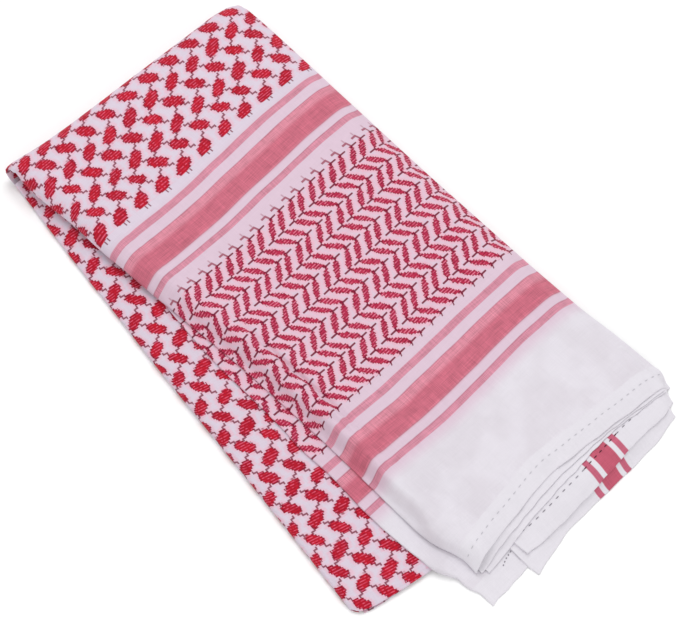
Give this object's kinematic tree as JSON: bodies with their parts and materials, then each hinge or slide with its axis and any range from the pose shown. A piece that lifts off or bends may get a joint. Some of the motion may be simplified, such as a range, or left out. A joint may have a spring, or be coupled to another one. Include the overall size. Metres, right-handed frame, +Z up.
{
  "type": "folded keffiyeh headscarf",
  "caption": "Square red and white cotton headscarf with a net, chevron and stripe weave, folded into a strip, doubled over and lying flat.",
  "frame": {"origin": "middle of the footprint, on the surface that the folded cloth lies on", "axes": "+X along the folded strip from its fold end to its hems, +Y across the strip, +Z up"},
  "size_m": [0.3325, 0.1992, 0.0166],
  "materials": {
    "net_cotton": "matt woven cotton with raised red threads on white",
    "white_cotton": "matt plain woven cotton",
    "inner_cotton": "matt woven cotton, seen at the folded edges"
  },
  "bodies": {
    "root": {"underside_ply": "net_cotton", "lower_inner_plies": "inner_cotton", "lower_flap": "net_cotton", "second_panel": "net_cotton", "second_panel_hem": "white_cotton", "lowest_stretch": "white_cotton", "lowest_stretch_hem": "white_cotton", "third_stretch": "white_cotton", "third_stretch_hem": "white_cotton", "upper_inner_plies": "inner_cotton", "fourth_stretch": "white_cotton", "fifth_stretch": "white_cotton", "fold_end_inner_plies": "inner_cotton", "top_panel": "net_cotton", "top_panel_hem": "white_cotton"}
  },
  "joints": []
}
